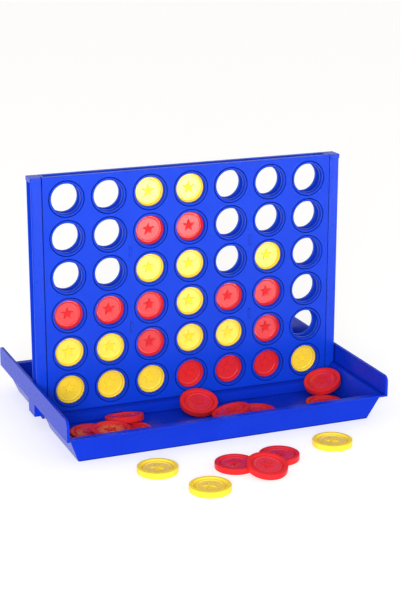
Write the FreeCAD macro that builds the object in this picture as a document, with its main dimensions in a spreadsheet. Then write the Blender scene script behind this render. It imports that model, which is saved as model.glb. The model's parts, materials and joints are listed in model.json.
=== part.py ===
import FreeCAD, Part
import math
import os
import Sketcher
from FreeCAD import Placement, Rotation, Vector

# Tabletop four-in-a-row game: a tray, an upright rack of two perforated panels held
# between two end posts, and the playing discs. Millimetres, +Z up, +X to the right,
# the players sit at -Y and +Y. The origin is the centre of the tray's underside.

COLUMNS = 7
ROWS = 6

SIZES = (
    ("disc_diameter", 29.9),
    ("disc_thickness", 4.5),
    ("disc_edge", 0.45),
    ("rim_inner_radius", 12.1),
    ("groove_outer_radius", 11.3),
    ("groove_inner_radius", 10.7),
    ("groove_depth", 1.15),
    ("ring_outer_radius", 10.2),
    ("ring_inner_radius", 9.3),
    ("ring_depth", 0.6),
    ("recess_radius", 8.7),
    ("recess_depth", 1.05),
    ("star_radius", 5.2),
    ("star_waist", 2.15),
    ("star_height", 0.55),
    ("column_pitch", 33),
    ("row_pitch", 30),
    ("lowest_row", 27),
    ("rack_depth", 13.1),
    ("slot_depth", 5.9),
    ("panel_width", 234.8),
    ("panel_bottom", 10.05),
    ("rack_top", 194.5),
    ("cell_radius", 11.4),
    ("cell_step_width", 0.6),
    ("cell_step_depth", 1.5),
    ("ring_line_radius", 13.7),
    ("ring_line_width", 0.8),
    ("ring_line_depth", 0.9),
    ("lip_reach", 2.85),
    ("lip_thickness", 1.6),
    ("lip_bottom", 13),
    ("lip_top", 189),
    ("rib_thickness", 2),
    ("rib_bottom", 12.3),
    ("rib_clearance", 0.1),
    ("tab_height", 8),
    ("tab_thickness", 1.8),
    ("tab_slot_width", 2),
    ("tab_proud", 0.15),
    ("tab_upper", 132),
    ("tab_lower", 72),
    ("post_inner", 118),
    ("post_outer", 126.4),
    ("post_bottom", 12.05),
    ("post_corner", 0.9),
    ("post_tongue_reach", 3),
    ("post_tongue_thickness", 5.6),
    ("post_flute_width", 9.3),
    ("post_flute_depth", 4.4),
    ("post_step", 0.4),
    ("cap_height", 3.4),
    ("fit_gap", 0.1),
    ("base_width", 235.4),
    ("base_depth", 164),
    ("knee_width", 250),
    ("knee_depth", 176),
    ("knee_height", 18.3),
    ("rim_width", 258),
    ("rim_depth", 184.6),
    ("rim_underside", 20),
    ("rim_top", 21.3),
    ("floor_thickness", 2),
    ("floor_width", 231.6),
    ("floor_depth", 160.6),
    ("mouth_width", 247),
    ("mouth_depth", 173.2),
    ("tub_corner", 1.5),
    ("wing_top", 36.3),
    ("wing_thickness", 2),
    ("wing_corner", 4.5),
    ("ridge_depth", 27),
    ("ridge_top", 10),
    ("ridge_foot_width", 234),
    ("ridge_head_width", 241),
    ("tongue_depth", 5.2),
    ("seat_height", 12),
    ("seat_inner", 118.1),
    ("seat_outer", 122.5),
    ("hub_bottom", 9.9),
    ("hub_foot", 121),
    ("hub_head", 124.5),
    ("hub_width", 15.8),
    ("pocket_width", 13.4),
    ("pocket_inner", 117.85),
    ("pocket_outer", 126.6),
    ("channel_depth", 22),
    ("channel_height", 8),
    ("web_thickness", 2),
    ("web_spacing", 60),
)

# Discs standing in the rack, one row of the grid per line from the top, seven columns each.
RACK_ROWS = (
    "..YY...",
    "..RR...",
    "..YY.Y.",
    "RRRYRR.",
    "YYRYYR.",
    "YYYRRRY",
)
COLOUR_NAMES = {"Y": "yellow", "R": "red"}

# Loose discs: name, centre x, y, z, the angle it leans from lying flat, and the
# compass direction, counted from +X, that its upper face leans towards.
LOOSE_DISCS = (
    ("tray_disc_a_red", -96.3, -42.0, 4.3, 0.0, 0.0),
    ("tray_disc_b_red", -83.4, -53.6, 8.85, 0.0, 0.0),
    ("tray_disc_c_red", -65.0, -50.0, 4.3, 0.0, 0.0),
    ("tray_disc_d_red", -63.9, -28.6, 7.4, 12.5, 91.0),
    ("tray_disc_e_red", -0.5, -23.6, 9.3, 20.6, 262.0),
    ("tray_disc_f_red", 16.3, -48.5, 7.72, 13.8, 153.0),
    ("tray_disc_g_red", 38.1, -48.6, 4.3, 0.0, 0.0),
    ("tray_disc_h_red", 106.5, -25.1, 13.05, 22.6, 211.5),
    ("tray_disc_i_red", 95.6, -51.2, 4.3, 0.0, 0.0),
    ("table_disc_a_yellow", -70.9, -120.3, 2.25, 0.0, 0.0),
    ("table_disc_b_yellow", -48.5, -164.5, 2.25, 0.0, 0.0),
    ("table_disc_c_yellow", 67.6, -120.8, 2.25, 0.0, 0.0),
    ("table_disc_d_red", -16.5, -133.5, 2.25, 0.0, 0.0),
    ("table_disc_e_red", 19.4, -130.8, 2.25, 0.0, 0.0),
    ("table_disc_f_red", 0.35, -151.8, 5.48, 12.75, 279.0),
)


def write_sheet(doc):
    sheet = doc.addObject("Spreadsheet::Sheet", "sizes")
    for row, (alias, value) in enumerate(SIZES, 1):
        sheet.set("A%d" % row, alias)
        sheet.set("B%d" % row, str(value))
        sheet.setAlias("B%d" % row, alias)
    doc.recompute()


def origin_feature(body, role):
    return next(f for f in body.Origin.OriginFeatures if f.Role == role)


def new_sketch(body, name, plane, across="0", up="0", out="0"):
    """A sketch on an origin plane, its own origin moved across, up and out of the plane."""
    sketch = body.newObject("Sketcher::SketchObject", name)
    sketch.AttachmentSupport = [(origin_feature(body, plane), "")]
    sketch.MapMode = "FlatFace"
    for axis, expression in (("x", across), ("y", up), ("z", out)):
        sketch.setExpression(".AttachmentOffset.Base." + axis, expression)
    return sketch


def add_outline(sketch, corners):
    """A closed outline of straight lines whose corners are pairs of expressions."""
    count = len(corners)
    first = sketch.GeometryCount
    ring = []
    for index in range(count):
        turn = 2 * math.pi * index / count
        ring.append(Vector(20 * math.cos(turn), 20 * math.sin(turn), 0))
    lines = [Part.LineSegment(ring[i], ring[(i + 1) % count]) for i in range(count)]
    sketch.addGeometry(lines, False)
    joins = []
    for i in range(count):
        following = first + (i + 1) % count
        joins.append(Sketcher.Constraint("Coincident", first + i, 2, following, 1))
    sketch.addConstraint(joins)
    for i, (across, up) in enumerate(corners):
        for kind, expression in (("DistanceX", across), ("DistanceY", up)):
            number = sketch.addConstraint(Sketcher.Constraint(kind, -1, 1, first + i, 1, 1.0))
            sketch.setExpression("Constraints[%d]" % number, expression)


def rectangle(left, right, bottom, top):
    return ((left, bottom), (right, bottom), (right, top), (left, top))


def centred(width, depth):
    half_width = "%s / 2" % width
    half_depth = "%s / 2" % depth
    return rectangle("-" + half_width, half_width, "-" + half_depth, half_depth)


def outline_sketch(body, name, plane, corners, **moved):
    sketch = new_sketch(body, name, plane, **moved)
    add_outline(sketch, corners)
    return sketch


def extrude(body, kind, name, sketch, length, reverse=False, both=False):
    feature = body.newObject("PartDesign::" + kind, name)
    feature.Profile = sketch
    feature.setExpression("Length", length)
    feature.Reversed = reverse
    if both:
        feature.SideType = "Symmetric"
    return feature


def turn_about(body, kind, name, sketch, axis):
    feature = body.newObject("PartDesign::" + kind, name)
    feature.Profile = sketch
    feature.ReferenceAxis = (sketch, [axis])
    feature.Angle = 360
    return feature


def loft(body, kind, name, sections):
    feature = body.newObject("PartDesign::" + kind, name)
    feature.Profile = sections[0]
    feature.Sections = sections[1:]
    feature.Ruled = True
    return feature


def pattern(body, name, original, axis, pitch, count, axis2=None, pitch2=None, count2=1):
    feature = body.newObject("PartDesign::LinearPattern", name)
    feature.Originals = [original]
    feature.Direction = (origin_feature(body, axis), [""])
    feature.Mode = "Spacing"
    feature.setExpression("Offset", pitch)
    feature.Occurrences = count
    if axis2:
        feature.Direction2 = (origin_feature(body, axis2), [""])
        feature.Mode2 = "Spacing"
        feature.setExpression("Offset2", pitch2)
        feature.Occurrences2 = count2
        feature.Spacings2 = [-1.0] * (count2 - 1)
    body.Tip = feature
    return feature


def round_edges(body, name, base, radius, chosen):
    """Fillets the edges of a feature for which chosen(edge) is true."""
    body.Document.recompute()
    names = ["Edge%d" % i for i, edge in enumerate(base.Shape.Edges, 1) if chosen(edge)]
    feature = body.newObject("PartDesign::Fillet", name)
    feature.Base = (base, names)
    feature.setExpression("Radius", radius)
    return feature


def new_body(doc, label):
    body = doc.addObject("PartDesign::Body", label)
    body.Label = label
    return body


# ---------------------------------------------------------------- discs


def disc(doc, label, placement):
    """A moulded disc, the same on both faces: rim, groove, ring, recess and raised star."""
    body = new_body(doc, label)
    half = "sizes.disc_thickness / 2"
    rim = "sizes.disc_diameter / 2"
    upper = (
        ("sizes.recess_radius", half + " - sizes.recess_depth"),
        ("sizes.ring_inner_radius", half + " - sizes.ring_depth"),
        ("sizes.ring_outer_radius", half + " - sizes.ring_depth"),
        ("sizes.groove_inner_radius", half + " - sizes.groove_depth"),
        ("sizes.groove_outer_radius", half + " - sizes.groove_depth"),
        ("sizes.rim_inner_radius", half),
        (rim + " - sizes.disc_edge", half),
        (rim, half + " - sizes.disc_edge"),
    )
    lower = tuple((radius, "-(%s)" % height) for radius, height in reversed(upper))
    web = half + " - sizes.recess_depth"
    section = (("0", "-(%s)" % web), ("0", web)) + upper + lower
    profile = outline_sketch(body, label + "_section", "XZ_Plane", section)
    turn_about(body, "Revolution", label + "_turned", profile, "V_Axis")

    points = []
    for index in range(10):
        reach = "sizes.star_waist" if index % 2 else "sizes.star_radius"
        angle = 90 + 36 * index
        points.append(("%s * cos(%d deg)" % (reach, angle), "%s * sin(%d deg)" % (reach, angle)))
    star = outline_sketch(body, label + "_star_outline", "XY_Plane", tuple(points))
    star_length = "2 * (%s + sizes.star_height)" % web
    extrude(body, "Pad", label + "_star", star, star_length, both=True)
    body.Placement = placement
    return body


def rack_discs(doc, size):
    """The discs that stand in the rack, each centred behind its cell, stars upright."""
    upright = Rotation(Vector(1, 0, 0), 90)
    bodies = []
    for column in range(COLUMNS):
        for level in range(ROWS):
            letter = RACK_ROWS[ROWS - 1 - level][column]
            if letter == ".":
                continue
            label = "rack_disc_c%d_r%d_%s" % (column + 1, ROWS - level, COLOUR_NAMES[letter])
            x = size["column_pitch"] * (column - (COLUMNS - 1) / 2)
            z = size["lowest_row"] + size["row_pitch"] * level
            bodies.append(disc(doc, label, Placement(Vector(x, 0, z), upright)))
    return bodies


def loose_discs(doc):
    """The discs lying in the front trough and on the table in front of the tray."""
    bodies = []
    for label, x, y, z, lean, towards in LOOSE_DISCS:
        heading = math.radians(towards)
        hinge = Vector(-math.sin(heading), math.cos(heading), 0)
        bodies.append(disc(doc, label, Placement(Vector(x, y, z), Rotation(hinge, lean))))
    return bodies


# ---------------------------------------------------------------- rack


def panel(doc, label, side):
    """A perforated panel. side is -1 for the front panel and 1 for the rear one."""
    body = new_body(doc, label)
    half_slot = "sizes.slot_depth / 2"
    thickness = "(sizes.rack_depth - sizes.slot_depth) / 2"
    rear = side > 0
    inner_offset = "-%s" % half_slot if rear else half_slot

    plate = rectangle(
        "-sizes.panel_width / 2", "sizes.panel_width / 2", "sizes.panel_bottom", "sizes.rack_top"
    )
    sketch = outline_sketch(body, label + "_plate_outline", "XZ_Plane", plate, out=inner_offset)
    extrude(body, "Pad", label + "_plate", sketch, thickness, reverse=rear)

    reach = "sizes.panel_width / 2 + sizes.lip_reach"
    lip = rectangle("-(%s)" % reach, reach, "sizes.lip_bottom", "sizes.lip_top")
    lip_offset = "%d * (%s + (%s - sizes.lip_thickness) / 2)" % (-side, half_slot, thickness)
    sketch = outline_sketch(body, label + "_lip_outline", "XZ_Plane", lip, out=lip_offset)
    extrude(body, "Pad", label + "_edge_lips", sketch, "sizes.lip_thickness", reverse=rear)

    cut_cells(body, label, side)
    if rear:
        add_ribs(body, label)
    else:
        cut_tab_slots(body, label)
    return body


def cut_cells(body, label, side):
    """Forty-two round windows with a stepped edge, each inside a fine ring line."""
    face = "%d * sizes.rack_depth / 2" % side
    beyond = "%d * (sizes.rack_depth / 2 + 1)" % side
    behind = "%d * (sizes.slot_depth / 2 - 1)" % side
    step_foot = "%d * (sizes.rack_depth / 2 - sizes.cell_step_depth)" % side
    line_foot = "%d * (sizes.rack_depth / 2 - sizes.ring_line_depth)" % side
    step_radius = "sizes.cell_radius + sizes.cell_step_width"
    line_inner = "sizes.ring_line_radius - sizes.ring_line_width / 2"
    line_outer = "sizes.ring_line_radius + sizes.ring_line_width / 2"
    first_column = "-sizes.column_pitch * %d" % ((COLUMNS - 1) // 2)
    sketch = new_sketch(
        body, label + "_cell_section", "YZ_Plane", up="sizes.lowest_row", out=first_column
    )
    add_outline(sketch, (
        (behind, "0"), (beyond, "0"), (beyond, step_radius), (step_foot, step_radius),
        (step_foot, "sizes.cell_radius"), (behind, "sizes.cell_radius"),
    ))
    add_outline(sketch, (
        (line_foot, "sizes.ring_line_radius"), (face, line_outer), (beyond, line_outer),
        (beyond, line_inner), (face, line_inner),
    ))
    cell = turn_about(body, "Groove", label + "_cell", sketch, "H_Axis")
    pattern(
        body, label + "_cells", cell, "X_Axis", "sizes.column_pitch", COLUMNS,
        "Z_Axis", "sizes.row_pitch", ROWS,
    )


def add_ribs(body, label):
    """Upright ribs between the columns, with four snap tabs that reach the front panel."""
    first_rib = "-sizes.column_pitch * (%d - 0.5)" % ((COLUMNS - 1) // 2)
    half_rib = "sizes.rib_thickness / 2"
    foot = "-(sizes.slot_depth / 2 - sizes.rib_clearance)"
    root = "sizes.slot_depth / 2 + 1"
    section = rectangle("%s - %s" % (first_rib, half_rib), "%s + %s" % (first_rib, half_rib),
                        foot, root)
    sketch = outline_sketch(
        body, label + "_rib_section", "XY_Plane", section, out="sizes.rib_bottom"
    )
    rib = extrude(body, "Pad", label + "_rib", sketch, "sizes.rack_top - 1 - sizes.rib_bottom")
    pattern(body, label + "_ribs", rib, "X_Axis", "sizes.column_pitch", COLUMNS - 1)

    half_tab = "sizes.tab_thickness / 2"
    tip = "-(sizes.rack_depth / 2 + sizes.tab_proud)"
    for level in ("tab_upper", "tab_lower"):
        for name, centre in (("left", "-1.5"), ("right", "1.5")):
            middle = "%s * sizes.column_pitch" % centre
            section = rectangle("%s - %s" % (middle, half_tab), "%s + %s" % (middle, half_tab),
                                tip, "0")
            sketch = outline_sketch(
                body, "%s_%s_%s_outline" % (label, level, name), "XY_Plane", section,
                out="sizes.%s - sizes.tab_height / 2 + 0.2" % level,
            )
            extrude(body, "Pad", "%s_%s_%s" % (label, level, name), sketch,
                    "sizes.tab_height - 0.4")


def cut_tab_slots(body, label):
    """Four upright slots in the front panel that the rear panel's tabs snap into."""
    sketch = new_sketch(body, label + "_tab_slots_outline", "XZ_Plane")
    half_slot = "sizes.tab_slot_width / 2"
    for level in ("sizes.tab_upper", "sizes.tab_lower"):
        for centre in ("-1.5", "1.5"):
            middle = "%s * sizes.column_pitch" % centre
            add_outline(sketch, rectangle(
                "%s - %s" % (middle, half_slot), "%s + %s" % (middle, half_slot),
                "%s - sizes.tab_height / 2" % level, "%s + sizes.tab_height / 2" % level,
            ))
    extrude(body, "Pocket", label + "_tab_slots", sketch, "sizes.rack_depth", reverse=True)


def post(doc, label, side):
    """An end post. side is -1 for the left post and 1 for the right one."""
    body = new_body(doc, label)

    def across(expression):
        return "%d * (%s)" % (side, expression)

    half_depth = "sizes.rack_depth / 2 - sizes.post_step"
    outer = "sizes.post_outer - sizes.post_step"
    shaft = rectangle(across("sizes.post_inner"), across(outer),
                      "-(%s)" % half_depth, half_depth)
    sketch = outline_sketch(body, label + "_shaft_section", "XY_Plane", shaft,
                            out="sizes.post_bottom")
    shaft_pad = extrude(body, "Pad", label + "_shaft", sketch,
                        "sizes.rack_top - sizes.cap_height / 2 - sizes.post_bottom")

    edge_x = side * (float(doc.sizes.post_outer) - float(doc.sizes.post_step))
    round_edges(
        body, label + "_shaft_corners", shaft_pad, "sizes.post_corner",
        lambda edge: is_upright(edge) and abs(edge.CenterOfMass.x - edge_x) < 0.01,
    )

    half_flute = "sizes.post_flute_width / 2"
    flute = rectangle(across(outer + " - sizes.post_flute_depth"), across(outer + " + 1"),
                      "-" + half_flute, half_flute)
    sketch = outline_sketch(body, label + "_flute_section", "XY_Plane", flute,
                            out="sizes.post_bottom")
    extrude(body, "Pocket", label + "_flute", sketch,
            "sizes.rack_top - sizes.cap_height - sizes.post_bottom", reverse=True)

    gap = "sizes.fit_gap"
    lip_middle = "(sizes.rack_depth + sizes.slot_depth) / 4"
    half_lip = "(sizes.lip_thickness / 2 + %s)" % gap
    slot_foot = "sizes.panel_width / 2 + sizes.lip_reach + %s" % gap
    sketch = new_sketch(body, label + "_lip_slots_section", "XY_Plane", out="sizes.lip_bottom - 1")
    for sign in ("-1", "1"):
        add_outline(sketch, rectangle(
            across("sizes.post_inner - 1"), across(slot_foot),
            "%s * %s - %s" % (sign, lip_middle, half_lip),
            "%s * %s + %s" % (sign, lip_middle, half_lip),
        ))
    extrude(body, "Pocket", label + "_lip_slots", sketch,
            "sizes.lip_top - sizes.lip_bottom + 1.2", reverse=True)

    half_tongue = "sizes.post_tongue_thickness / 2"
    tongue = rectangle(across("sizes.post_inner - sizes.post_tongue_reach"),
                       across("sizes.post_inner + 1"), "-" + half_tongue, half_tongue)
    sketch = outline_sketch(body, label + "_tongue_section", "XY_Plane", tongue,
                            out="sizes.seat_height + 0.4")
    extrude(body, "Pad", label + "_tongue", sketch,
            "sizes.rack_top - sizes.seat_height - 0.4")

    cap = rectangle(across("sizes.post_inner"), across("sizes.post_outer"),
                    "-sizes.rack_depth / 2", "sizes.rack_depth / 2")
    sketch = outline_sketch(body, label + "_cap_outline", "XY_Plane", cap,
                            out="sizes.rack_top - sizes.cap_height")
    cap_pad = extrude(body, "Pad", label + "_cap", sketch, "sizes.cap_height")
    cap_x = side * float(doc.sizes.post_outer)
    round_edges(
        body, label + "_cap_corners", cap_pad, "sizes.post_corner",
        lambda edge: is_upright(edge) and abs(edge.CenterOfMass.x - cap_x) < 0.01,
    )
    return body


def is_upright(edge):
    box = edge.BoundBox
    return box.ZLength > 1 and box.XLength < 0.001 and box.YLength < 0.001


# ---------------------------------------------------------------- tray


def tray(doc):
    """The tray: sloped tub, outward rim, end wings, post sockets and a webbed hollow ridge."""
    body = new_body(doc, "tray")

    base = outline_sketch(body, "base_outline", "XY_Plane",
                          centred("sizes.base_width", "sizes.base_depth"))
    knee = outline_sketch(body, "knee_outline", "XY_Plane",
                          centred("sizes.knee_width", "sizes.knee_depth"), out="sizes.knee_height")
    tub = loft(body, "AdditiveLoft", "tub", [base, knee])
    round_edges(body, "tub_corners", tub, "sizes.tub_corner",
                lambda edge: edge.BoundBox.ZLength > 1)

    knee_again = outline_sketch(body, "flare_foot", "XY_Plane",
                                centred("sizes.knee_width", "sizes.knee_depth"),
                                out="sizes.knee_height")
    rim = outline_sketch(body, "flare_head", "XY_Plane",
                         centred("sizes.rim_width", "sizes.rim_depth"), out="sizes.rim_underside")
    loft(body, "AdditiveLoft", "rim_flare", [knee_again, rim])
    edge = outline_sketch(body, "rim_outline", "XY_Plane",
                          centred("sizes.rim_width", "sizes.rim_depth"), out="sizes.rim_underside")
    extrude(body, "Pad", "rim_edge", edge, "sizes.rim_top - sizes.rim_underside")

    floor = outline_sketch(body, "floor_outline", "XY_Plane",
                           centred("sizes.floor_width", "sizes.floor_depth"),
                           out="sizes.floor_thickness")
    mouth = outline_sketch(body, "mouth_outline", "XY_Plane",
                           centred("sizes.mouth_width", "sizes.mouth_depth"),
                           out="sizes.rim_top")
    loft(body, "SubtractiveLoft", "hollow", [floor, mouth])

    add_wings(body)
    add_ridge(body)
    add_sockets(body)

    channel = outline_sketch(body, "channel_outline", "XY_Plane",
                             centred("sizes.rim_width", "sizes.channel_depth"))
    extrude(body, "Pocket", "channel", channel, "sizes.channel_height", reverse=True)
    webs = new_sketch(body, "channel_webs_outline", "XY_Plane")
    half_web = "sizes.web_thickness / 2"
    half_channel = "sizes.channel_depth / 2 + 0.5"
    for step in ("-1", "0", "1"):
        middle = step + " * sizes.web_spacing"
        add_outline(webs, rectangle("%s - %s" % (middle, half_web), "%s + %s" % (middle, half_web),
                                    "-(%s)" % half_channel, half_channel))
    extrude(body, "Pad", "channel_webs", webs, "sizes.channel_height + 0.5")
    return body


def add_wings(body):
    """An upright wing at each end, standing on the rim, with rounded top corners."""
    half_depth = "sizes.rim_depth / 2"
    side_view = rectangle("-" + half_depth, half_depth, "sizes.rim_underside", "sizes.wing_top")
    corner_z = float(body.Document.sizes.wing_top)
    corner_y = float(body.Document.sizes.rim_depth) / 2
    for name, side in (("left", -1), ("right", 1)):
        inner_face = "%d * sizes.rim_width / 2 - %d * sizes.wing_thickness" % (side, side)
        sketch = outline_sketch(body, name + "_wing_outline", "YZ_Plane", side_view,
                                out=inner_face)
        wing = extrude(body, "Pad", name + "_wing", sketch, "sizes.wing_thickness",
                       reverse=side < 0)
        round_edges(
            body, name + "_wing_corners", wing, "sizes.wing_corner",
            lambda edge: abs(edge.CenterOfMass.z - corner_z) < 0.01
            and abs(abs(edge.CenterOfMass.y) - corner_y) < 0.01
            and edge.CenterOfMass.x * side > 0,
        )


def add_ridge(body):
    """A hollow ridge along the middle of the tray, with a tongue that carries the discs."""
    foot = outline_sketch(body, "ridge_foot", "XY_Plane",
                          centred("sizes.ridge_foot_width", "sizes.ridge_depth"), out="1")
    head = outline_sketch(body, "ridge_head", "XY_Plane",
                          centred("sizes.ridge_head_width", "sizes.ridge_depth"),
                          out="sizes.ridge_top")
    loft(body, "AdditiveLoft", "ridge", [foot, head])
    tongue = outline_sketch(body, "tongue_outline", "XY_Plane",
                            centred("2 * sizes.seat_inner", "sizes.tongue_depth"),
                            out="sizes.channel_height + 1")
    extrude(body, "Pad", "tongue", tongue, "sizes.seat_height - sizes.channel_height - 1")


def add_sockets(body):
    """A seat inside and a hub outside each end wall, cut open for the foot of a post."""
    half_hub = "sizes.hub_width / 2"
    half_pocket = "sizes.pocket_width / 2"
    for name, side in (("left", "-1"), ("right", "1")):
        seat = rectangle(side + " * sizes.seat_inner", side + " * sizes.seat_outer",
                         "-" + half_hub, half_hub)
        sketch = outline_sketch(body, name + "_seat_outline", "XY_Plane", seat,
                                out="sizes.channel_height + 1")
        extrude(body, "Pad", name + "_seat", sketch,
                "sizes.seat_height - sizes.channel_height - 1")
        hub = (
            (side + " * sizes.hub_foot", "sizes.hub_bottom"),
            (side + " * sizes.rim_width / 2", "sizes.hub_bottom"),
            (side + " * sizes.rim_width / 2", "sizes.rim_underside + 0.5"),
            (side + " * sizes.hub_head", "sizes.rim_underside + 0.5"),
        )
        sketch = outline_sketch(body, name + "_hub_outline", "XZ_Plane", hub)
        extrude(body, "Pad", name + "_hub", sketch, "sizes.hub_width", both=True)
        pocket = rectangle(side + " * sizes.pocket_inner", side + " * sizes.pocket_outer",
                           "-" + half_pocket, half_pocket)
        sketch = outline_sketch(body, name + "_pocket_outline", "XY_Plane", pocket,
                                out="sizes.seat_height")
        extrude(body, "Pocket", name + "_pocket", sketch, "sizes.rim_top", reverse=True)


# ---------------------------------------------------------------- build


def check(doc, bodies):
    failed = [o.Name for o in doc.Objects if {"Invalid", "Error"} & set(o.State)]
    for body in bodies:
        if body.Shape.isNull() or not body.Shape.isValid() or len(body.Shape.Solids) != 1:
            failed.append(body.Label)
    if failed:
        raise RuntimeError("failed objects: " + ", ".join(failed))


def main():
    doc = FreeCAD.newDocument("four_in_a_row")
    write_sheet(doc)
    size = dict(SIZES)
    bodies = [
        tray(doc),
        panel(doc, "front_panel", -1),
        panel(doc, "rear_panel", 1),
        post(doc, "left_post", -1),
        post(doc, "right_post", 1),
    ]
    bodies += rack_discs(doc, size)
    bodies += loose_discs(doc)
    doc.recompute()
    check(doc, bodies)
    os.makedirs("parts", exist_ok=True)
    for body in bodies:
        body.Shape.exportStep("parts/%s.step" % body.Label)
        print("%-28s %9.1f mm3" % (body.Label, body.Shape.Volume))


main()
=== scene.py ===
import json
import math

import bmesh
import bpy
import numpy as np
from mathutils import Matrix, Vector


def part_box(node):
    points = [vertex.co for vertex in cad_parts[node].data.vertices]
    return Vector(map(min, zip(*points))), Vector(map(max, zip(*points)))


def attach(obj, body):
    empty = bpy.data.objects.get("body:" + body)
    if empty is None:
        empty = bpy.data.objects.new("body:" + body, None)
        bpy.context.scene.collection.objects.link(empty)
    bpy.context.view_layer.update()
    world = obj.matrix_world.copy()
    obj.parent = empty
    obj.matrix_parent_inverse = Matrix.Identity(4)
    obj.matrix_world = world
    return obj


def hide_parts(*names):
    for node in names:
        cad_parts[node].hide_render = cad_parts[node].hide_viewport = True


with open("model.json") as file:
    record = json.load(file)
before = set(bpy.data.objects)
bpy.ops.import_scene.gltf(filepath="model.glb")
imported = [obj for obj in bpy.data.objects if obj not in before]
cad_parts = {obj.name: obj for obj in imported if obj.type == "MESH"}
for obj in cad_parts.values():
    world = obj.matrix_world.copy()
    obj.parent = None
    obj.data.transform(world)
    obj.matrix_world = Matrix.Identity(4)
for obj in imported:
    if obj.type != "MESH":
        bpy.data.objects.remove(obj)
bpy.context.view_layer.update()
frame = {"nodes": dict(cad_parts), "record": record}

MM = 0.001


# ---------------------------------------------------------------- meshes

MERGE_DISTANCE = 0.001
SHARP_ANGLE = math.radians(32)


def set_sharp_edges(bm):
    """Smooth faces, with the edges of large angles kept crisp."""
    for face in bm.faces:
        face.smooth = True
    for edge in bm.edges:
        if len(edge.link_faces) == 2:
            edge.smooth = edge.calc_face_angle(0.0) < SHARP_ANGLE
        else:
            edge.smooth = False


def finish_mesh(bm, name):
    """Turns a bmesh drawn in millimetres into a mesh in metres."""
    bmesh.ops.remove_doubles(bm, verts=bm.verts, dist=MERGE_DISTANCE)
    bmesh.ops.recalc_face_normals(bm, faces=bm.faces)
    set_sharp_edges(bm)
    mesh = bpy.data.meshes.new(name)
    bm.to_mesh(mesh)
    bm.free()
    mesh.transform(Matrix.Scale(MM, 4))
    return mesh


def rounded(points, radius, steps):
    """The points of an open polyline with each inner corner replaced by a tangent arc."""
    result = [points[0]]
    for previous, point, following in zip(points, points[1:], points[2:]):
        here = Vector(point)
        before = Vector(previous) - here
        after = Vector(following) - here
        half_turn = (math.pi - before.angle(after)) / 2
        reach = min(radius * math.tan(half_turn), before.length * 0.45, after.length * 0.45)
        start = here + before.normalized() * reach
        end = here + after.normalized() * reach
        for step in range(steps + 1):
            t = step / steps
            result.append(tuple(start.lerp(here, t).lerp(here.lerp(end, t), t)))
    result.append(points[-1])
    return result


def bridge(bm, first, second):
    """Quads between two closed rings of vertices with the same count."""
    count = len(first)
    for i in range(count):
        j = (i + 1) % count
        bm.faces.new((first[i], first[j], second[j], second[i]))


# ---------------------------------------------------------------- materials

PLASTIC_IOR = 1.45
FLOW_SCALE = 38.0
GLOSS_SCALE = 420.0
SKIN_SCALE = 260.0
SKIN_DEPTH = 0.02
# Painted shade in creases: how far, in millimetres, a wall darkens the colour of the faces beside
# it, and the painted shade deep in a crease.
CREASE_REACH = 1.6
PAINTED_CREASE_SHADE = 0.2
DISC_PAINTED_CREASE_SHADE = 0.65


def node(tree, kind, **inputs):
    made = tree.nodes.new(kind)
    for name, value in inputs.items():
        made.inputs[name.replace("_", " ")].default_value = value
    return made


def flow_colour(tree, place, colour, deep_colour):
    """Faint marks where the plastic flowed into the mould."""
    flow = node(tree, "ShaderNodeTexNoise", Scale=FLOW_SCALE, Detail=3.0, Roughness=0.55)
    tree.links.new(place, flow.inputs["Vector"])
    ramp = tree.nodes.new("ShaderNodeValToRGB")
    ramp.color_ramp.elements[0].position = 0.32
    ramp.color_ramp.elements[0].color = (*deep_colour, 1)
    ramp.color_ramp.elements[1].position = 0.68
    ramp.color_ramp.elements[1].color = (*colour, 1)
    tree.links.new(flow.outputs["Fac"], ramp.inputs["Fac"])
    return ramp.outputs["Color"]


def paint_crease_shade(tree, colour, on_disc):
    """The colour with painted shade in creases, from ambient occlusion. A disc is only darkened by
    its own walls.
    """
    # Painted shade: ambient occlusion darkens the base colour in creases and near walls.
    crease = tree.nodes.new("ShaderNodeAmbientOcclusion")
    crease.samples = 8
    crease.only_local = on_disc
    crease.inputs["Distance"].default_value = CREASE_REACH * MM
    painted_shade_factor = node(tree, "ShaderNodeMapRange", From_Min=0.3, From_Max=0.9)
    painted_shade_factor.inputs["To Min"].default_value = DISC_PAINTED_CREASE_SHADE if on_disc else PAINTED_CREASE_SHADE
    tree.links.new(crease.outputs["AO"], painted_shade_factor.inputs["Value"])
    painted_shade_colour = tree.nodes.new("ShaderNodeMix")
    painted_shade_colour.data_type = "RGBA"
    painted_shade_colour.blend_type = "MULTIPLY"
    painted_shade_colour.inputs["Factor"].default_value = 1
    tree.links.new(colour, painted_shade_colour.inputs[6])
    tree.links.new(painted_shade_factor.outputs["Result"], painted_shade_colour.inputs[7])
    return painted_shade_colour.outputs[2]


def uneven_gloss(tree, place, roughness):
    gloss = node(tree, "ShaderNodeTexNoise", Scale=GLOSS_SCALE, Detail=4.0, Roughness=0.6)
    tree.links.new(place, gloss.inputs["Vector"])
    spread = node(tree, "ShaderNodeMapRange", From_Min=0.3, From_Max=0.7)
    spread.inputs["To Min"].default_value = roughness - 0.04
    spread.inputs["To Max"].default_value = roughness + 0.05
    tree.links.new(gloss.outputs["Fac"], spread.inputs["Value"])
    return spread.outputs["Result"]


def moulded_skin(tree, place):
    skin = node(tree, "ShaderNodeTexNoise", Scale=SKIN_SCALE, Detail=1.0)
    tree.links.new(place, skin.inputs["Vector"])
    bump = node(tree, "ShaderNodeBump", Strength=0.2, Distance=SKIN_DEPTH * MM)
    tree.links.new(skin.outputs["Fac"], bump.inputs["Height"])
    return bump.outputs["Normal"]


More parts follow.
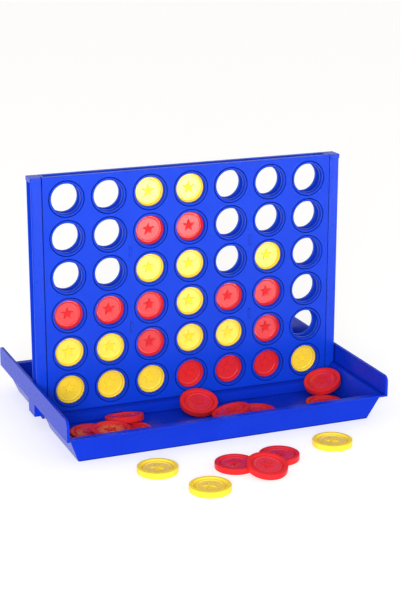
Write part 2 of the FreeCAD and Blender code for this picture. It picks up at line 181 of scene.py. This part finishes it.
def plastic(name, colour, deep_colour, roughness, level, on_disc=False):
    """Moulded plastic: faint flow marks, a fine uneven gloss, and painted shade in creases."""
    material = bpy.data.materials.new(name)
    material.use_nodes = True
    tree = material.node_tree
    shader = tree.nodes["Principled BSDF"]
    shader.inputs["IOR"].default_value = PLASTIC_IOR
    shader.inputs["Specular IOR Level"].default_value = level
    place = tree.nodes.new("ShaderNodeTexCoord").outputs["Object"]
    marked = flow_colour(tree, place, colour, deep_colour)
    # The base colour gets painted shade in its creases.
    painted_shade_colour = paint_crease_shade(tree, marked, on_disc)
    tree.links.new(painted_shade_colour, shader.inputs["Base Color"])
    tree.links.new(uneven_gloss(tree, place, roughness), shader.inputs["Roughness"])
    tree.links.new(moulded_skin(tree, place), shader.inputs["Normal"])
    return material


RED = ((0.73, 0.023, 0.028), (0.68, 0.019, 0.023))
YELLOW = ((0.98, 0.71, 0.044), (0.96, 0.66, 0.036))
BLUE_TRAY = ((0.004, 0.033, 0.53), (0.003, 0.029, 0.50))
BLUE_PANEL = ((0.004, 0.043, 0.555), (0.003, 0.039, 0.53))
MATERIALS = {
    "tray": plastic("tray_plastic", *BLUE_TRAY, 0.30, 0.10),
    "panel": plastic("panel_plastic", *BLUE_PANEL, 0.32, 0.16),
    "post": plastic("post_plastic", *BLUE_PANEL, 0.30, 0.20),
    "red_disc": plastic("red_plastic", *RED, 0.36, 0.12, True),
    "yellow_disc": plastic("yellow_plastic", *YELLOW, 0.36, 0.14, True),
    "red_disc_satin": plastic("red_satin", *RED, 0.22, 0.60, True),
    "yellow_disc_satin": plastic("yellow_satin", *YELLOW, 0.22, 0.95, True),
}


# ---------------------------------------------------------------- pieces


def slot_of(name):
    return next(s["material_slot"] for s in frame["record"]["subparts"] if s["node"] == name)


def body_of(name):
    bodies = frame["record"]["behaviour"]["bodies"]
    return next(body for body, nodes in bodies.items() if name in nodes)


def add_piece(name, mesh):
    piece = bpy.data.objects.new(name, mesh)
    bpy.context.scene.collection.objects.link(piece)
    return piece


def settle(piece, slot, *stands_for):
    """A new piece stands for CAD nodes: it takes their body, and the CAD nodes are hidden."""
    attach(piece, body_of(stands_for[0]))
    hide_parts(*stands_for)


def level_normals(piece):
    """Flat faces shade flat right up to their rounded edges."""
    even = piece.modifiers.new("even", "WEIGHTED_NORMAL")
    even.keep_sharp = True


# ---------------------------------------------------------------- discs

DISC_SEGMENTS = 96
DISC_RADIUS = 14.95
DISC_HALF = 2.25
WEB_HALF = 1.2
RIM_INNER = 12.1
RIM_FLAT = 12.6
# The face from its flat web out to the rim, as radius and height above the middle.
DISC_FACE = (
    (0.0, WEB_HALF),
    (8.7, WEB_HALF),
    (9.3, 1.65),
    (10.2, 1.65),
    (10.7, 1.1),
    (11.3, 1.1),
    (RIM_INNER, DISC_HALF),
)
DISC_EDGE = ((RIM_FLAT, DISC_HALF), (DISC_RADIUS, DISC_HALF), (DISC_RADIUS, 0.0))
FACE_FILLET = 0.3
EDGE_FILLET = 0.6
SATIN_RADIUS = 10.4
STAR_POINTS = 5
STAR_RADIUS = 5.2
STAR_WAIST = 2.15
STAR_TOP = 1.75
# The star's side from foot to top, as its size beside the full star and its height.
STAR_SIDE = (
    (1.0, WEB_HALF - 0.3),
    (1.0, STAR_TOP - 0.15),
    (0.965, STAR_TOP - 0.04),
    (0.92, STAR_TOP),
)
TIP_TOLERANCE = 0.05


def disc_profile():
    """One side of a disc's section, from the front web round the edge to the rear web."""
    face = rounded(DISC_FACE, FACE_FILLET, 3)[1:]
    edge = rounded(DISC_EDGE, EDGE_FILLET, 6)[:-1]
    half = face + edge
    return half + [(radius, -height) for radius, height in reversed(half)]


def disc_mesh(slot):
    """A disc about its own centre, faces along Z, with a point of each star towards Y."""
    bm = bmesh.new()
    rings = []
    for radius, height in disc_profile():
        ring = []
        for i in range(DISC_SEGMENTS):
            turn = 2 * math.pi * i / DISC_SEGMENTS
            ring.append(bm.verts.new((radius * math.cos(turn), radius * math.sin(turn), height)))
        rings.append(ring)
    for first, second in zip(rings, rings[1:]):
        bridge(bm, first, second)
    for ring in (rings[0], rings[-1]):
        bm.faces.new(ring)
    for face in bm.faces:
        middle = face.calc_center_median()
        if middle.xy.length < SATIN_RADIUS and abs(middle.z) > 1:
            face.material_index = 1
    for side in (1, -1):
        add_star(bm, side)
    mesh = finish_mesh(bm, slot)
    mesh.materials.append(MATERIALS[slot])
    mesh.materials.append(MATERIALS[slot + "_satin"])
    return mesh


def add_star(bm, side):
    """A raised star with a softened edge, on one face of a disc."""
    rings = []
    for scale, height in STAR_SIDE:
        ring = []
        for i in range(2 * STAR_POINTS):
            reach = scale * (STAR_WAIST if i % 2 else STAR_RADIUS)
            turn = math.pi / 2 + side * math.pi * i / STAR_POINTS
            place = (reach * math.cos(turn), reach * math.sin(turn), side * height)
            ring.append(bm.verts.new(place))
        rings.append(ring)
    for first, second in zip(rings, rings[1:]):
        bridge(bm, first, second)
    bm.faces.new(rings[-1])
    bm.faces.new(rings[0])


def disc_pose(name):
    """Where a disc stands, read from its CAD node: its centre, its axis and a point of its star."""
    low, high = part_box(name)
    centre = (low + high) / 2
    corners = frame["nodes"][name].data.vertices
    verts = {tuple(round(c, 7) for c in v.co - centre) for v in corners}
    spread = np.array(sorted(verts))
    axis = Vector(np.linalg.svd(spread, full_matrices=False)[2][2])
    tips = [
        Vector(v) for v in verts
        if abs(Vector(v).dot(axis) - STAR_TOP * MM) < TIP_TOLERANCE * MM
        and abs(Vector(v).cross(axis).length - STAR_RADIUS * MM) < TIP_TOLERANCE * MM
    ]
    tip = max(tips, key=lambda v: v.z)
    up = (tip - axis * tip.dot(axis)).normalized()
    right = up.cross(axis)
    turn = Matrix((right, up, axis)).transposed().to_4x4()
    return Matrix.Translation(centre) @ turn


def make_discs():
    meshes = {slot: disc_mesh(slot) for slot in ("red_disc", "yellow_disc")}
    for name in sorted(frame["nodes"]):
        if "_disc_" not in name:
            continue
        slot = slot_of(name)
        piece = add_piece("piece_" + name, meshes[slot])
        piece.matrix_world = disc_pose(name)
        level_normals(piece)
        settle(piece, slot, name)


# ---------------------------------------------------------------- CAD pieces kept

WELD_DISTANCE = 0.002
FLAT_ANGLE = math.radians(1)
BEVEL_ANGLE = math.radians(30)
# How far the edges of each moulding are rounded, in millimetres.
EDGES = {
    "tray": 0.35,
    "front_panel": 0.12,
    "rear_panel": 0.12,
    "left_post": 0.35,
    "right_post": 0.35,
}


def keep_cad(name, bevel):
    """A CAD node keeps its mesh, gets softened edges and its material."""
    piece = frame["nodes"][name]
    slot = slot_of(name)
    piece.data.materials.clear()
    piece.data.materials.append(MATERIALS[slot])
    for polygon in piece.data.polygons:
        polygon.use_smooth = True
    weld = piece.modifiers.new("weld", "WELD")
    weld.merge_threshold = WELD_DISTANCE * MM
    flat = piece.modifiers.new("flat", "DECIMATE")
    flat.decimate_type = "DISSOLVE"
    flat.angle_limit = FLAT_ANGLE
    soft = piece.modifiers.new("soft", "BEVEL")
    soft.width = bevel * MM
    soft.segments = 3
    soft.limit_method = "ANGLE"
    soft.angle_limit = BEVEL_ANGLE
    soft.harden_normals = True
    level_normals(piece)


# ---------------------------------------------------------------- camera and floor

CAMERA_PLACE = (-0.4174, -1.0618, 0.4253)
CAMERA_YAW = 21.948
CAMERA_PITCH = 16.558
CAMERA_LENS = 91.0
SENSOR_WIDTH = 36.0
FLOOR_REACH = 9000
FLOOR_COLOUR = (0.57, 0.56, 0.54, 1)
FLOOR_GLOW = 0.55
WHITE = (1, 1, 1, 1)


def make_camera():
    data = bpy.data.cameras.new("camera")
    data.lens = CAMERA_LENS
    data.sensor_width = SENSOR_WIDTH
    data.clip_start = 0.05
    data.clip_end = 50.0
    camera = bpy.data.objects.new("camera", data)
    camera.location = CAMERA_PLACE
    camera.rotation_euler = (math.radians(90 - CAMERA_PITCH), 0, math.radians(-CAMERA_YAW))
    bpy.context.scene.collection.objects.link(camera)
    bpy.context.scene.camera = camera


def make_floor():
    bm = bmesh.new()
    bmesh.ops.create_grid(bm, x_segments=1, y_segments=1, size=FLOOR_REACH)
    floor = bpy.data.objects.new("floor", finish_mesh(bm, "floor"))
    material = bpy.data.materials.new("white_floor")
    material.use_nodes = True
    shader = material.node_tree.nodes["Principled BSDF"]
    shader.inputs["Base Color"].default_value = FLOOR_COLOUR
    shader.inputs["Roughness"].default_value = 0.8
    shader.inputs["Emission Color"].default_value = WHITE
    shader.inputs["Emission Strength"].default_value = FLOOR_GLOW
    floor.data.materials.append(material)
    floor.visible_glossy = False
    bpy.context.scene.collection.objects.link(floor)


# ---------------------------------------------------------------- light

KEY_PLACE = (-0.9, -2.0, 0.62)
KEY_TARGET = (0, 0, 0.08)
KEY_SIZE = 0.9
KEY_POWER = 39
# Brightness of the studio by the height of a direction, from straight down to straight up.
FRONT_STUDIO = ((-1.0, 0.1), (-0.35, 0.3), (-0.15, 1.0), (0.1, 1.3), (0.25, 0.9), (1.0, 0.62))
BACK_STUDIO = ((-1.0, 0.5), (-0.3, 1.3), (0.2, 0.9), (0.32, 0.6), (1.0, 0.62))
# A bright card low in front, for the gloss of what faces the players.
CARD = ((-0.345, 0.0), (-0.31, 0.1), (-0.25, 1.9), (-0.2, 16.5), (-0.12, 22.0), (-0.06, 0.0))
# Where the front of the studio fades into the back, and where the card starts from the left.
FRONT_END = -0.2
BACK_START = 0.3
CARD_START = 0.05
CARD_FULL = 0.25


def combine(tree, operation, first, second):
    made = tree.nodes.new("ShaderNodeMath")
    made.operation = operation
    for socket, value in zip(made.inputs, (first, second)):
        if isinstance(value, (int, float)):
            socket.default_value = value
        else:
            tree.links.new(value, socket)
    return made.outputs["Value"]


def rise(tree, value, start, end):
    """A number that goes from 0 to 1 as the value goes from start to end."""
    made = node(tree, "ShaderNodeMapRange", From_Min=start, From_Max=end)
    tree.links.new(value, made.inputs["Value"])
    return made.outputs["Result"]


def by_height(tree, height, levels):
    """A number that follows the height of the direction looked in."""
    peak = max(level for _, level in levels)
    ramp = tree.nodes.new("ShaderNodeValToRGB")
    stops = ramp.color_ramp.elements
    while len(stops) < len(levels):
        stops.new(0.5)
    for stop, (up, level) in zip(stops, levels):
        stop.position = (up + 1) / 2
        stop.color = (level / peak, level / peak, level / peak, 1)
    tree.links.new(height, ramp.inputs["Fac"])
    return combine(tree, "MULTIPLY", ramp.outputs["Color"], peak)


def make_studio():
    """A soft studio, brightest near the horizon and dimmer above."""
    world = bpy.data.worlds.new("studio")
    world.use_nodes = True
    tree = world.node_tree
    sky = tree.nodes["Background"]
    sky.inputs["Color"].default_value = WHITE
    place = tree.nodes.new("ShaderNodeTexCoord")
    split = tree.nodes.new("ShaderNodeSeparateXYZ")
    tree.links.new(place.outputs["Generated"], split.inputs["Vector"])
    across, along, up = (split.outputs[axis] for axis in "XYZ")
    height = rise(tree, up, -1, 1)
    behind = rise(tree, along, FRONT_END, BACK_START)
    before = rise(tree, along, BACK_START, FRONT_END)
    front = combine(tree, "MULTIPLY", by_height(tree, height, FRONT_STUDIO), before)
    back = combine(tree, "MULTIPLY", by_height(tree, height, BACK_STUDIO), behind)
    card = combine(tree, "MULTIPLY", by_height(tree, height, CARD), before)
    card = combine(tree, "MULTIPLY", card, rise(tree, across, CARD_START, CARD_FULL))
    level = combine(tree, "ADD", combine(tree, "ADD", front, back), card)
    tree.links.new(level, sky.inputs["Strength"])
    bpy.context.scene.world = world


def make_key():
    """A round soft light from the front left, kept out of the gloss."""
    data = bpy.data.lights.new("key", "AREA")
    data.shape = "DISK"
    data.size = KEY_SIZE
    data.energy = KEY_POWER
    key = bpy.data.objects.new("key", data)
    key.location = KEY_PLACE
    key.rotation_mode = "QUATERNION"
    key.rotation_quaternion = (Vector(KEY_TARGET) - Vector(KEY_PLACE)).to_track_quat("-Z", "Y")
    key.visible_glossy = False
    bpy.context.scene.collection.objects.link(key)


# ---------------------------------------------------------------- build

make_camera()
make_studio()
make_key()
bpy.context.scene.view_settings.view_transform = "Standard"
make_floor()
make_discs()
for kept, bevel in EDGES.items():
    keep_cad(kept, bevel)
